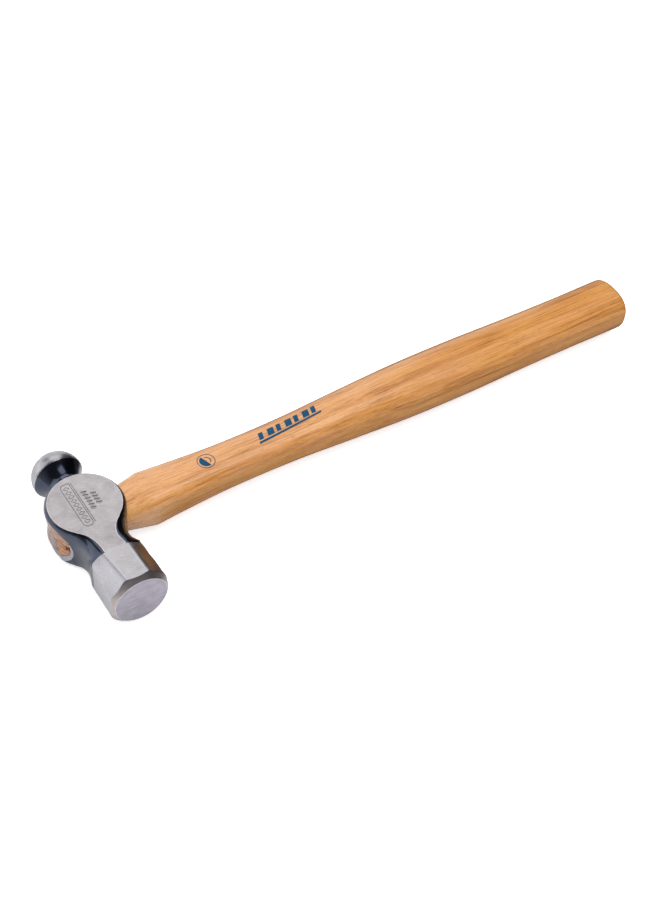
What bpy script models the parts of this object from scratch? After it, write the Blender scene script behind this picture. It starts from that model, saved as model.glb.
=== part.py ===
"""Ball peen hammer, 450 g class, lying on its cheek.

Frame: metres, +Z up. The handle points along +X, the ball peen is towards +Y and the striking
face towards -Y. The object's box stands on Z = 0 and is centred on X = 0, Y = 0.
Each piece is modelled about the middle of the eye and then moved to EYE.
"""
import math

import bmesh
import bpy
from mathutils import Matrix, Vector

MM = 0.001

# ---- head: driving dimensions -------------------------------------------------------------
CHEEK_HALF = 12.6 * MM          # half height between the two ground cheeks
FACE_Y = -53.7 * MM             # plane of the striking face
FACE_RADIUS = 13.6 * MM         # flat part of the striking face
CHAMFER_SLOPE = 1.0             # radius gained per length on the turned chamfer
POLL_START_Y = -28.4 * MM       # where the octagonal poll begins
POLL_HALF_Z = 16.0 * MM         # octagon at the face: half height
POLL_HALF_X = (13.2 * MM, 14.65 * MM)       # octagon's half width where it begins and at the face
POLL_TOP_FLAT = 6.7 * MM        # half width of the octagon's top facet
POLL_SIDE_HALF_Z = (9.6 * MM, 7.3 * MM)     # half height of the upright side facets, likewise
POLL_SHIFT_X = 0.5 * MM         # the face stands this much towards the handle

BOSS_CENTRE_Y = 2.5 * MM        # the round boss stands a little towards the peen
BOSS_CHEEK_RADIUS = 18.5 * MM   # ground cheek, across the head
BOSS_MID_RADIUS = 20.0 * MM     # boss at its middle height, across the head
BOSS_STRETCH = 1.03             # how much longer the boss is along the head
BOSS_EDGE_POWER = 7             # how late the wall rolls over towards the cheek

NECK_CHEEK_HALF = 5.4 * MM      # half width of the ground cheek at the neck's waist
NECK_MID_HALF = 12.0 * MM       # half width of the neck at middle height
NECK_CHEEK_FILLET = 9.0 * MM    # radius of the hollow between boss and neck, at the cheek
NECK_MID_FILLET = 15.0 * MM     # and at middle height
NECK_CHEEK_SHIFT = 1.0 * MM     # the ground strip lies this much towards the eye's wedge end
NECK_WAIST_Y = -21.0 * MM       # where the ground strip is narrowest
NECK_ROUNDNESS = 3.5            # how late the neck's wall rolls over towards the cheek
POLL_FLARE_POWER = 2.2          # how late the neck flares out to the poll

GROUND_END_X = -19.2 * MM       # crown of the ground patch round the wedge end of the eye
GROUND_END_RADIUS = 25.0 * MM   # the patch is ground to this radius
GROUND_END_REACH = 35           # degrees of arc that it spans each way

PEEN_NECK_RADIUS = 9.4 * MM
PEEN_RIM_Y = 34.7 * MM
PEEN_RADIUS = 13.2 * MM
PEEN_TIP_Y = 46.6 * MM
PEEN_RIM_LAND = 1.2 * MM        # straight stretch behind the rim
PEEN_FLARE_LENGTH = 8.0 * MM    # from there the back narrows to the neck

# ---- eye: an oval hourglass along X, larger at both mouths --------------------------------------
EYE_WAIST = (9.8 * MM, 7.4 * MM)            # half sizes along Y and Z, at its middle
EYE_WEDGE_MOUTH = (11.4 * MM, 8.8 * MM)     # at the wedge end
EYE_HANDLE_MOUTH = (12.2 * MM, 9.6 * MM)    # at the handle end
EYE_MOUTH_X = 19.0 * MM
EYE_OVAL_POWER = 2.4
FIT_GAP = 0.3 * MM              # kept between every two pieces

# ---- handle: stations of (x, half width along Y, half height along Z, squareness) ------------
TAPER_START_X = 15.0 * MM       # the shoulder tapers into the eye from here
HANDLE_STATIONS = (
    (31.4 * MM, 13.2 * MM, 10.7 * MM, 3.4),
    (46.0 * MM, 12.4 * MM, 10.2 * MM, 3.1),
    (74.0 * MM, 11.4 * MM, 9.4 * MM, 2.8),
    (110.0 * MM, 11.7 * MM, 9.7 * MM, 2.6),
    (147.0 * MM, 13.5 * MM, 11.2 * MM, 2.5),
    (184.0 * MM, 15.2 * MM, 12.6 * MM, 2.4),
    (221.0 * MM, 15.4 * MM, 12.9 * MM, 2.4),
    (258.0 * MM, 14.8 * MM, 12.4 * MM, 2.4),
    (294.0 * MM, 14.6 * MM, 12.2 * MM, 2.4),
    (329.4 * MM, 14.9 * MM, 12.5 * MM, 2.4),
)
HANDLE_END_X = 329.4 * MM
HANDLE_END_ROUNDING = 5.0 * MM
HANDLE_STEP = 9.0 * MM          # spacing of the sections along the handle

# ---- wedges: driven into the tenon from its end --------------------------------------------
TENON_END_X = -24.0 * MM        # before the end is ground flush with the head
WOOD_WEDGE_TIP_X = 8.0 * MM
WOOD_WEDGE_HALF_WIDTH = 8.2 * MM
WOOD_WEDGE_THICK_END = 3.2 * MM
WOOD_WEDGE_THIN_END = 1.2 * MM
KERF_HALF_WIDTH = 14.0 * MM     # the saw kerf for the wooden wedge runs right through the tenon
STEEL_WEDGE_TIP_X = -2.0 * MM
STEEL_WEDGE_MIDDLE = (0.6 * MM, -2.0 * MM)      # y and z of its middle
STEEL_WEDGE_TURN = math.radians(70)     # from the wooden wedge's plane
STEEL_WEDGE_HALF_WIDTH = 5.0 * MM
STEEL_WEDGE_THICK_END = 6.0 * MM
STEEL_WEDGE_THIN_END = 1.0 * MM

# ---- place of the eye's middle in the world ---------------------------------------------------
POLL_SLOPE = (POLL_HALF_Z - CHEEK_HALF) / (POLL_START_Y - FACE_Y)      # of the top and bottom facets
CHAMFER_DEPTH = (POLL_HALF_Z - FACE_RADIUS) / (CHAMFER_SLOPE + POLL_SLOPE)     # on these facets
REST_HALF_Z = FACE_RADIUS + CHAMFER_SLOPE * CHAMFER_DEPTH      # largest half height that is left
EYE = Vector((-(GROUND_END_X + HANDLE_END_X) / 2, -(FACE_Y + PEEN_TIP_Y) / 2, REST_HALF_Z))

# ---- fineness of the curved surfaces --------------------------------------------------------
UPPER_SHARES = (1.0, 0.8, 0.4, 0.0)     # points of a head section above the side facet's edge
LOWER_SHARES = (0.5, 0.0)               # and below it
OVAL_POINTS = 32
TURNED_STEPS = 40


# ---- scene helpers -----------------------------------------------------------------------
def clear_scene():
    for old in list(bpy.data.objects):
        bpy.data.objects.remove(old, do_unlink=True)


def make_collection(name):
    group = bpy.data.collections.new(name)
    bpy.context.scene.collection.children.link(group)
    return group


def make_material(name, colour, roughness, metallic=0.0):
    material = bpy.data.materials.new(name)
    material.use_nodes = True
    shader = material.node_tree.nodes["Principled BSDF"]
    shader.inputs["Base Color"].default_value = (*colour, 1.0)
    shader.inputs["Roughness"].default_value = roughness
    shader.inputs["Metallic"].default_value = metallic
    return material


def add_object(name, mesh, group, material=None):
    piece = bpy.data.objects.new(name, mesh)
    group.objects.link(piece)
    if material:
        mesh.materials.append(material)
    mesh.shade_smooth()
    mesh.set_sharp_from_angle(angle=math.radians(32))
    return piece


def hide_cutter(cutter):
    cutter.hide_render = True
    cutter.display_type = "WIRE"


def cut(piece, cutter, operation="DIFFERENCE"):
    modifier = piece.modifiers.new(f"{operation.lower()}_{cutter.name}", "BOOLEAN")
    modifier.operation = operation
    modifier.solver = "EXACT"
    modifier.object = cutter


def loft(name, rings):
    """Skin a list of rings that all have the same number of points, and close both ends."""
    mesh = bpy.data.meshes.new(name)
    build = bmesh.new()
    rows = [[build.verts.new(point) for point in ring] for ring in rings]
    for near, far in zip(rows, rows[1:]):
        for i in range(len(near)):
            j = (i + 1) % len(near)
            build.faces.new((near[i], near[j], far[j], far[i]))
    build.faces.new(rows[0][::-1])
    build.faces.new(rows[-1])
    bmesh.ops.recalc_face_normals(build, faces=build.faces)
    build.to_mesh(mesh)
    build.free()
    return mesh


def turned_about_y(name, profile, group, material=None):
    """Turn a profile of (radius, y) points, listed from the largest y down, about the Y axis."""
    mesh = bpy.data.meshes.new(name)
    points = [(radius, 0.0, y) for radius, y in profile]
    mesh.from_pydata(points, [(i, i + 1) for i in range(len(points) - 1)], [])
    piece = add_object(name, mesh, group, material)
    piece.rotation_euler = (-math.pi / 2, 0.0, 0.0)
    screw = piece.modifiers.new("turned", "SCREW")
    screw.axis = "Z"
    screw.steps = TURNED_STEPS
    screw.render_steps = TURNED_STEPS
    screw.use_merge_vertices = True
    screw.merge_threshold = 0.00001
    return piece


def oval(half_y, half_z, power, count=OVAL_POINTS):
    """Points (y, z) of a superellipse; a higher power makes it squarer."""
    points = []
    for i in range(count):
        angle = 2 * math.pi * (i + 0.5) / count
        c, s = math.cos(angle), math.sin(angle)
        points.append((half_y * math.copysign(abs(c) ** (2 / power), c),
                       half_z * math.copysign(abs(s) ** (2 / power), s)))
    return points


def ease(value, start, end):
    """0 before start, 1 after end, and a smooth S between them."""
    t = min(max((value - start) / (end - start), 0.0), 1.0)
    return t * t * (3 - 2 * t)


# ---- head ------------------------------------------------------------------------------------
def boss_radius(level):
    """Radius of the boss's wall at a level: 0 at middle height, 1 at the cheek."""
    return BOSS_MID_RADIUS - (BOSS_MID_RADIUS - BOSS_CHEEK_RADIUS) * level ** BOSS_EDGE_POWER


def boss_half_width(y, level):
    """Half width of the round boss at y, or 0 beyond its ends."""
    radius = boss_radius(level)
    share = (y - BOSS_CENTRE_Y) / (radius * BOSS_STRETCH)
    return radius * math.sqrt(max(1 - share * share, 0.0))


def neck_waist(level):
    """Half width of the neck at its waist: narrow at the ground cheek, full at middle height."""
    return NECK_CHEEK_HALF + (NECK_MID_HALF - NECK_CHEEK_HALF) * math.sqrt(1 - level ** NECK_ROUNDNESS)


def along_poll(y, at_start, at_face):
    """A dimension that changes evenly along the poll, and stays the same behind it."""
    share = max((y - POLL_START_Y) / (FACE_Y - POLL_START_Y), 0.0)
    return at_start + (at_face - at_start) * share


def poll_half_width(y, level):
    """Half width of the octagonal poll: top facet, slanting facet, upright side facet."""
    slant = min(1.0, (1 - level) / (1 - side_level(y)))
    return POLL_TOP_FLAT + (along_poll(y, *POLL_HALF_X) - POLL_TOP_FLAT) * slant


def front_half_width(y, level):
    """Half width on the face side: the boss, the hollow fillet into the neck, and the poll."""
    if y <= POLL_START_Y:
        return poll_half_width(y, level)
    radius = boss_radius(level)
    waist = neck_waist(level)
    fillet = NECK_MID_FILLET + (NECK_CHEEK_FILLET - NECK_MID_FILLET) * level ** 3
    fillet_x = waist + fillet
    reach = math.sqrt((radius + fillet) ** 2 - fillet_x ** 2) * BOSS_STRETCH
    waist_y = BOSS_CENTRE_Y - reach
    touch_y = BOSS_CENTRE_Y - reach * radius / (radius + fillet)
    if y >= touch_y:
        return boss_half_width(y, level)
    if y >= waist_y:
        return fillet_x - math.sqrt(max(fillet ** 2 - (y - waist_y) ** 2, 0.0))
    share = (waist_y - y) / (waist_y - POLL_START_Y)
    return waist + (poll_half_width(y, level) - waist) * share ** POLL_FLARE_POWER


def head_half_height(y):
    """Half height of the head, from the poll over the cheeks to the round neck of the peen."""
    if y < POLL_START_Y:
        return along_poll(y, CHEEK_HALF, POLL_HALF_Z)
    past_cheek = (y - BOSS_CENTRE_Y) / BOSS_STRETCH - BOSS_CHEEK_RADIUS
    if past_cheek <= 0:
        return CHEEK_HALF
    wall = 1 - past_cheek / (BOSS_MID_RADIUS - BOSS_CHEEK_RADIUS)
    if wall <= 0:
        return PEEN_NECK_RADIUS
    return max(CHEEK_HALF * wall ** (1 / BOSS_EDGE_POWER), PEEN_NECK_RADIUS)


def side_level(y):
    """Share of the half height where the poll's upright side facet begins."""
    side_half = along_poll(y, *POLL_SIDE_HALF_Z)
    return min(side_half / head_half_height(y), side_half / CHEEK_HALF)


def head_edge(y, z, side):
    """Distance from the YZ plane to the head's wall; side is +1 (handle) or -1 (wedge end)."""
    if y > BOSS_CENTRE_Y:
        boss = boss_half_width(y, min(abs(z) / CHEEK_HALF, 1.0))
        neck = math.sqrt(max(PEEN_NECK_RADIUS ** 2 - z * z, 0.0))
        return max(boss, neck)
    level = min(abs(z) / head_half_height(y), 1.0)
    strip = ease(y, POLL_START_Y, NECK_WAIST_Y) * ease(y, BOSS_CENTRE_Y, NECK_WAIST_Y)
    shift = along_poll(y, 0.0, POLL_SHIFT_X) - NECK_CHEEK_SHIFT * strip * level ** 3
    return front_half_width(y, level) + side * shift


def head_section(y):
    """One ring of the head: down the +X wall from the top cheek, and up the -X wall."""
    half = head_half_height(y)
    corner = half * side_level(y)
    heights = [corner + (half - corner) * share for share in UPPER_SHARES]
    heights += [corner * share for share in LOWER_SHARES]
    heights += [-z for z in heights[-2::-1]]
    right = [Vector((head_edge(y, z, 1), y, z)) for z in heights]
    left = [Vector((-head_edge(y, z, -1), y, z)) for z in reversed(heights)]
    return right + left


def head_stations():
    """Y of each section: close together where the outline turns quickly."""
    poll = [FACE_Y - 2 * MM, FACE_Y + 8 * MM, FACE_Y + 16 * MM, POLL_START_Y]
    flare = [POLL_START_Y + step * MM for step in (0.7, 1.6, 3.0, 5.0, 7.0)]
    boss = [BOSS_CENTRE_Y - BOSS_CHEEK_RADIUS * BOSS_STRETCH * math.cos(math.radians(a))
            for a in range(10, 171, 8)]
    boss_end = BOSS_CENTRE_Y + BOSS_CHEEK_RADIUS * BOSS_STRETCH
    peen = [boss_end + step * MM for step in (0.0, 0.5, 0.9, 1.2, 1.5, 4.0)]
    return sorted(poll + flare + boss + peen)


def peen_profile():
    """Radius and y of the peen, from its tip to the inside of its neck."""
    dome_length = PEEN_TIP_Y - PEEN_RIM_Y
    profile = [(0.0, PEEN_TIP_Y)]
    for degrees in range(9, 91, 9):
        angle = math.radians(degrees)
        profile.append((PEEN_RADIUS * math.sin(angle), PEEN_RIM_Y + dome_length * math.cos(angle)))
    neck = PEEN_NECK_RADIUS - 0.1 * MM
    for t in (0.0, 0.2, 0.4, 0.6, 0.8, 1.0):
        flare = (PEEN_RADIUS - neck) * (1 - t) ** 1.7
        profile.append((neck + flare, PEEN_RIM_Y - PEEN_RIM_LAND - PEEN_FLARE_LENGTH * t))
    inside_boss = BOSS_CENTRE_Y + BOSS_CHEEK_RADIUS - 3 * MM
    return profile + [(neck, inside_boss), (0.0, inside_boss)]


def envelope_profile():
    """A turned shape that trims the end of the poll to the striking face and its chamfer."""
    reach = 30 * MM
    shoulder_y = FACE_Y + (reach - FACE_RADIUS) / CHAMFER_SLOPE
    top = PEEN_TIP_Y + 5 * MM
    return [(0.0, top), (reach, top), (reach, shoulder_y), (FACE_RADIUS, FACE_Y), (0.0, FACE_Y)]


def eye_size(x, gap=0.0):
    """Half sizes of the eye at x, less a gap all round."""
    mouth = EYE_WEDGE_MOUTH if x < 0 else EYE_HANDLE_MOUTH
    share = (abs(x) / EYE_MOUTH_X) ** 1.6
    return [waist + (wide - waist) * share - gap for waist, wide in zip(EYE_WAIST, mouth)]


def oval_ring(x, half_y, half_z, power):
    return [Vector((x, y, z)) for y, z in oval(half_y, half_z, power)]


def make_eye_cutter(cutters):
    rings = [oval_ring(x * MM, *eye_size(x * MM), EYE_OVAL_POWER)
             for x in (-25, -19, -14, -9, -4, 0, 4, 9, 14, 19, 25)]
    return add_object("eye_cutter", loft("eye_cutter", rings), cutters)


def make_ground_end_cutter(cutters):
    """Everything beyond the convex patch that is ground over the wedge end of the eye."""
    far_x = GROUND_END_X - 20 * MM
    arc = []
    for degrees in range(-GROUND_END_REACH, GROUND_END_REACH + 1, 5):
        angle = math.radians(degrees)
        arc.append((GROUND_END_X + GROUND_END_RADIUS * (1 - math.cos(angle)),
                    BOSS_CENTRE_Y + GROUND_END_RADIUS * math.sin(angle)))
    outline = arc + [(far_x, arc[-1][1]), (far_x, arc[0][1])]
    rings = [[Vector((x, y, z)) for x, y in outline] for z in (-2 * CHEEK_HALF, 2 * CHEEK_HALF)]
    return add_object("ground_end_cutter", loft("ground_end_cutter", rings), cutters)


def make_head(parts, cutters, ground_end):
    steel = make_material("forged steel", (0.55, 0.54, 0.55), 0.35, 1.0)
    sections = [head_section(y) for y in head_stations()]
    head = add_object("hammer_head", loft("hammer_head", sections), parts, steel)
    peen = turned_about_y("peen_turning", peen_profile(), cutters)
    envelope = turned_about_y("poll_turning", envelope_profile(), cutters)
    envelope.location.x = POLL_SHIFT_X
    eye = make_eye_cutter(cutters)
    cut(head, peen, "UNION")
    cut(head, envelope, "INTERSECT")
    cut(head, ground_end)
    cut(head, eye)


# ---- handle and wedges -----------------------------------------------------------------------
def smooth_step_through(stations, x):
    """Values at x on smooth curves through stations of (x, value, value, ...)."""
    spans = [i for i in range(len(stations) - 1) if stations[i][0] <= x]
    i = spans[-1]
    low, high = stations[i], stations[i + 1]
    before = stations[max(i - 1, 0)]
    after = stations[min(i + 2, len(stations) - 1)]
    span = high[0] - low[0]
    t = (x - low[0]) / span
    values = []
    for k in range(1, len(low)):
        slope_low = span * (high[k] - before[k]) / (high[0] - before[0])
        slope_high = span * (after[k] - low[k]) / (after[0] - low[0])
        values.append(low[k] * (1 + 2 * t) * (1 - t) ** 2 + high[k] * t * t * (3 - 2 * t)
                      + slope_low * t * (1 - t) ** 2 - slope_high * t * t * (1 - t))
    return values


def handle_rings():
    """The tenon inside the eye, the tapered shoulder, the shaft and the rounded end."""
    tenon = [TENON_END_X] + [x * MM for x in (-19, -14, -9, -4, 0, 4, 9)] + [TAPER_START_X]
    rings = [oval_ring(x, *eye_size(x, FIT_GAP), EYE_OVAL_POWER) for x in tenon]

    neck = [*eye_size(TAPER_START_X, FIT_GAP), EYE_OVAL_POWER]
    shoulder = HANDLE_STATIONS[0]
    for share in (0.35, 0.7, 1.0):
        x = TAPER_START_X + (shoulder[0] - TAPER_START_X) * share
        rings.append(oval_ring(x, *[a + (b - a) * share for a, b in zip(neck, shoulder[1:])]))

    straight_end = HANDLE_END_X - HANDLE_END_ROUNDING
    count = round((straight_end - shoulder[0]) / HANDLE_STEP)
    for i in range(1, count + 1):
        x = shoulder[0] + (straight_end - shoulder[0]) * i / count
        rings.append(oval_ring(x, *smooth_step_through(HANDLE_STATIONS, x)))

    half_y, half_z, power = smooth_step_through(HANDLE_STATIONS, straight_end)
    for degrees in (25, 45, 65, 90):
        angle = math.radians(degrees)
        inset = HANDLE_END_ROUNDING * (1 - math.cos(angle))
        x = straight_end + HANDLE_END_ROUNDING * math.sin(angle)
        rings.append(oval_ring(x, half_y - inset, half_z - inset, power))
    return rings


def wedge_mesh(name, tip_x, half_width, thick_end, thin_end, gap=0.0):
    """A wedge from the tenon's end to tip_x: half_width along Y, thickness along Z."""
    mesh = bpy.data.meshes.new(name)
    build = bmesh.new()
    bmesh.ops.create_cube(build, size=2.0)
    for vert in build.verts:
        thickness, x = (thick_end, TENON_END_X - gap) if vert.co.x < 0 else (thin_end, tip_x + gap)
        vert.co = (x, vert.co.y * (half_width + gap), vert.co.z * (thickness / 2 + gap))
    build.to_mesh(mesh)
    build.free()
    return mesh


def steel_wedge_mesh(name, gap=0.0):
    """A shorter wedge turned about X, so that it spreads the tenon across the wooden one."""
    mesh = wedge_mesh(name, STEEL_WEDGE_TIP_X, STEEL_WEDGE_HALF_WIDTH, STEEL_WEDGE_THICK_END,
                      STEEL_WEDGE_THIN_END, gap)
    turn = Matrix.Rotation(STEEL_WEDGE_TURN, 4, "X")
    mesh.transform(Matrix.Translation((0.0, *STEEL_WEDGE_MIDDLE)) @ turn)
    return mesh


def make_handle_and_wedges(parts, cutters, ground_end):
    hickory = make_material("varnished hickory", (0.72, 0.42, 0.18), 0.35)
    beech = make_material("wedge wood", (0.60, 0.38, 0.20), 0.6)
    iron = make_material("wedge steel", (0.45, 0.45, 0.47), 0.4, 1.0)
    handle = add_object("handle", loft("handle", handle_rings()), parts, hickory)
    wood_mesh = wedge_mesh("wooden_wedge", WOOD_WEDGE_TIP_X, WOOD_WEDGE_HALF_WIDTH,
                           WOOD_WEDGE_THICK_END, WOOD_WEDGE_THIN_END)
    wood_wedge = add_object("wooden_wedge", wood_mesh, parts, beech)
    steel_wedge = add_object("steel_wedge", steel_wedge_mesh("steel_wedge"), parts, iron)

    kerf_mesh = wedge_mesh("kerf_cutter", WOOD_WEDGE_TIP_X, KERF_HALF_WIDTH,
                           WOOD_WEDGE_THICK_END, WOOD_WEDGE_THIN_END, FIT_GAP)
    kerf = add_object("kerf_cutter", kerf_mesh, cutters)
    pocket = add_object("pocket_cutter", steel_wedge_mesh("pocket_cutter", FIT_GAP), cutters)
    cut(handle, kerf)
    cut(handle, pocket)
    cut(wood_wedge, pocket)
    for piece in (handle, wood_wedge, steel_wedge):
        cut(piece, ground_end)


def main():
    clear_scene()
    parts = make_collection("ball_peen_hammer")
    cutters = make_collection("cutters")
    ground_end = make_ground_end_cutter(cutters)
    make_head(parts, cutters, ground_end)
    make_handle_and_wedges(parts, cutters, ground_end)
    for piece in list(parts.objects) + list(cutters.objects):
        piece.location += EYE
    for cutter in cutters.objects:
        hide_cutter(cutter)


main()
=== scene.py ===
"""Looks of the ball peen hammer: finer pieces, finishes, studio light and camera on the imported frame.

Each piece is modelled about the middle of the eye, in metres, and then stands at EYE.
"""
import math

import bmesh
import bpy
from mathutils import Matrix, Quaternion, Vector


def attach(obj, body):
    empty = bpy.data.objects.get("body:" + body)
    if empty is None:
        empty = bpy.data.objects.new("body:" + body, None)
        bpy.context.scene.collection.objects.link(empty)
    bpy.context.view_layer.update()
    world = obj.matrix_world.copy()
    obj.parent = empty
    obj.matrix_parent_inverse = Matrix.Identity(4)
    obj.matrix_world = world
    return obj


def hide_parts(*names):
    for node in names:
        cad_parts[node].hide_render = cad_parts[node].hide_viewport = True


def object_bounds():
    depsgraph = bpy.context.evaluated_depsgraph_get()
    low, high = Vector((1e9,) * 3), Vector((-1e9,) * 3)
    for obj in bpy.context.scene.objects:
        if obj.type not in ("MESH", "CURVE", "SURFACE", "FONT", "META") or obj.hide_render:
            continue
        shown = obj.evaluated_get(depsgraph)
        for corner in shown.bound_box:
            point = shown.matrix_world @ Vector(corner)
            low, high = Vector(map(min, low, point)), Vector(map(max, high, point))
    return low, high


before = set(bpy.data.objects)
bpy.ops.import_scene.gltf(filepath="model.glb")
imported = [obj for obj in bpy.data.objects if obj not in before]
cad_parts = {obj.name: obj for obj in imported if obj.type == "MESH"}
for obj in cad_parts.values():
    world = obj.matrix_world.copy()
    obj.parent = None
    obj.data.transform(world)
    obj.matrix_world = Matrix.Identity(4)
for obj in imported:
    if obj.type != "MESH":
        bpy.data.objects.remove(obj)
BOX_LOW, BOX_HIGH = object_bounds()
MM = 0.001

# ---- head: the CAD's dimensions, with a finer boss edge, neck fillet and ground patch ----------
CHEEK_HALF = 12.6 * MM
FACE_Y = -53.7 * MM
FACE_RADIUS = 13.6 * MM
FACE_EDGE_ROUNDING = 0.35 * MM
CHAMFER_SLOPE = 1.0
POLL_START_Y = -28.4 * MM
POLL_HALF_Z = 16.0 * MM
POLL_HALF_X = (13.2 * MM, 14.65 * MM)
POLL_TOP_FLAT = 6.7 * MM            # half width of the top facet
POLL_SIDE_HALF_Z = (9.6 * MM, 7.3 * MM)
POLL_SHIFT_X = 0.5 * MM
POLL_TOP_ROUNDING = 4.8 * MM        # radius of the soft crease beside the top facet
POLL_SIDE_ROUNDING = 1.2 * MM       # reach of the soft crease beside the side facet

BOSS_CENTRE_Y = 2.5 * MM
BOSS_CHEEK_RADIUS = 18.25 * MM
BOSS_MID_RADIUS = 20.0 * MM
BOSS_STRETCH = 1.03
BOSS_ROLL_LEVEL = 0.74              # the wall starts to roll over to the cheek at this level
BOSS_BARREL = 0.12                  # share of the inset that the wall takes below that level
BOSS_ROLL_CUT = 0.96                # the cheek's grinding cuts the roll short here, at a crisp edge

NECK_CHEEK_HALF = 5.4 * MM
NECK_MID_HALF = 12.0 * MM
NECK_CHEEK_FILLET = 14.0 * MM
NECK_MID_FILLET = 15.0 * MM
NECK_CHEEK_SHIFT = 0.7 * MM
NECK_WAIST_Y = -21.0 * MM
NECK_ROUNDNESS = 3.5                # a higher power keeps the neck full nearer to the cheek
POLL_FLARE_POWER = 2.2              # a higher power starts the flare to the poll later
CHEEK_END_Y = -28.9 * MM            # the cheek's grinding ends here, on the poll's top facet
LACQUER_END_Y = -29.4 * MM          # the lacquer ends here beside the cheek
LACQUER_LOBE = 2.0 * MM             # and this much further along the poll, lower down

GROUND_END_X = -19.05 * MM          # middle of the patch ground over the wedge end
GROUND_END_MIDDLE = (1.0 * MM, -1.5 * MM)
GROUND_END_HALF = (13.3 * MM, 11.5 * MM)
GROUND_END_BACK = 18.0 * MM         # its reach towards the peen
GROUND_END_POWER = 2.1
GROUND_END_CROWN = 1.6              # power of the fall from its middle to its rim
GROUND_END_LIFT = 1.2 * MM          # the cutter clears the wall by this much outside the rim
GROUND_END_REACH = 20.0 * MM        # and reaches this far beyond the head

PEEN_RIM_Y = 34.7 * MM
PEEN_RADIUS = 13.2 * MM
PEEN_TIP_Y = 46.6 * MM
PEEN_RIM_LAND = 1.2 * MM
PEEN_RIM_CHAMFER = 0.25 * MM
PEEN_RIM_LIP = 0.2 * MM             # step between the dome's rim and the lacquered back, coloured as a painted highlight
PEEN_FLARE_LENGTH = 8.0 * MM
PEEN_FLARE_POWER = 1.7
PEEN_NECK_RADIUS = 9.4 * MM
PEEN_ROOT = ((23.6, 9.7), (22.6, 10.3), (21.6, 11.2), (20.4, 12.3), (19.0, 12.6))     # y, radius

EDGE_HIGHLIGHT_WIDTH = 0.28 * MM              # painted highlight: a bright steel line where the ground cheek meets the lacquer, standing in for the edge catching light

# ---- eye, handle and wedges, as in the CAD -----------------------------------------------------
EYE_WAIST = (9.8 * MM, 7.4 * MM)    # half sizes along Y and Z
EYE_WEDGE_MOUTH = (11.4 * MM, 8.8 * MM)
EYE_HANDLE_MOUTH = (12.2 * MM, 9.6 * MM)
EYE_MOUTH_X = 19.0 * MM
EYE_OVAL_POWER = 2.4
EYE_FLARE_POWER = 1.6
FIT_GAP = 0.3 * MM

TAPER_START_X = 15.0 * MM
HANDLE_STATIONS = (                 # x, half width, half height and squareness
    (31.4 * MM, 13.2 * MM, 10.7 * MM, 3.4),
    (46.0 * MM, 12.4 * MM, 10.2 * MM, 3.1),
    (74.0 * MM, 11.4 * MM, 9.4 * MM, 2.8),
    (110.0 * MM, 11.7 * MM, 9.7 * MM, 2.6),
    (147.0 * MM, 13.5 * MM, 11.2 * MM, 2.5),
    (184.0 * MM, 15.2 * MM, 12.6 * MM, 2.4),
    (221.0 * MM, 15.4 * MM, 12.9 * MM, 2.4),
    (258.0 * MM, 14.8 * MM, 12.4 * MM, 2.4),
    (294.0 * MM, 14.6 * MM, 12.2 * MM, 2.4),
    (329.4 * MM, 14.9 * MM, 12.5 * MM, 2.4),
)
HANDLE_END_X = 329.4 * MM
HANDLE_END_ROUNDING = 5.0 * MM
HANDLE_END_DOME = 0.8 * MM

TENON_END_X = -24.0 * MM
WOOD_WEDGE_TIP_X = 8.0 * MM
WOOD_WEDGE_HALF_WIDTH = 8.2 * MM
WOOD_WEDGE_THICK_END = 3.2 * MM
WOOD_WEDGE_THIN_END = 1.2 * MM
KERF_HALF_WIDTH = 14.0 * MM
STEEL_WEDGE_TIP_X = -2.0 * MM
STEEL_WEDGE_MIDDLE = (0.6 * MM, -2.0 * MM)
STEEL_WEDGE_TURN = math.radians(70)
STEEL_WEDGE_HALF_WIDTH = 5.0 * MM
STEEL_WEDGE_THICK_END = 6.0 * MM
STEEL_WEDGE_THIN_END = 1.0 * MM

# ---- fineness --------------------------------------------------------------------------------
WALL_LEVELS = (1.0, 0.997, 0.99, 0.98, 0.965, 0.95, 0.93, 0.9, 0.86, 0.82, 0.75, 0.66, 0.55, 0.44,
               0.33, 0.22, 0.11, 0.0)
CHEEK_SHARES = (0.12, 0.25, 0.38, 0.5, 0.62, 0.75, 0.88)
FAR_WALL_LEVELS = (0.99, 0.975, 0.955, 0.93, 0.9, 0.86, 0.82, 0.78, 0.74, 0.70)
GROUND_END_SHARES = (0.0, 0.15, 0.3, 0.45, 0.6, 0.7, 0.8, 0.88, 0.95, 1.0, 1.04)
POLL_SECTIONS = 9
NECK_SECTIONS = 26
NECK_STEP = 0.6 * MM
BOSS_STEP = 2.5                     # degrees
DOME_STEP = 3                       # degrees
FLARE_SECTIONS = 16
TURNED_POINTS = 128
OVAL_POINTS = 96
HANDLE_STEP = 2.5 * MM
TENON_SECTIONS = 26
TAPER_SECTIONS = 8
HANDLE_END_STEP = 8                 # degrees

# ---- place of the eye's middle, from the frame's box ---------------------------------------------
EYE = Vector((BOX_HIGH.x - HANDLE_END_X, BOX_LOW.y - FACE_Y, (BOX_LOW.z + BOX_HIGH.z) / 2))


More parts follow.
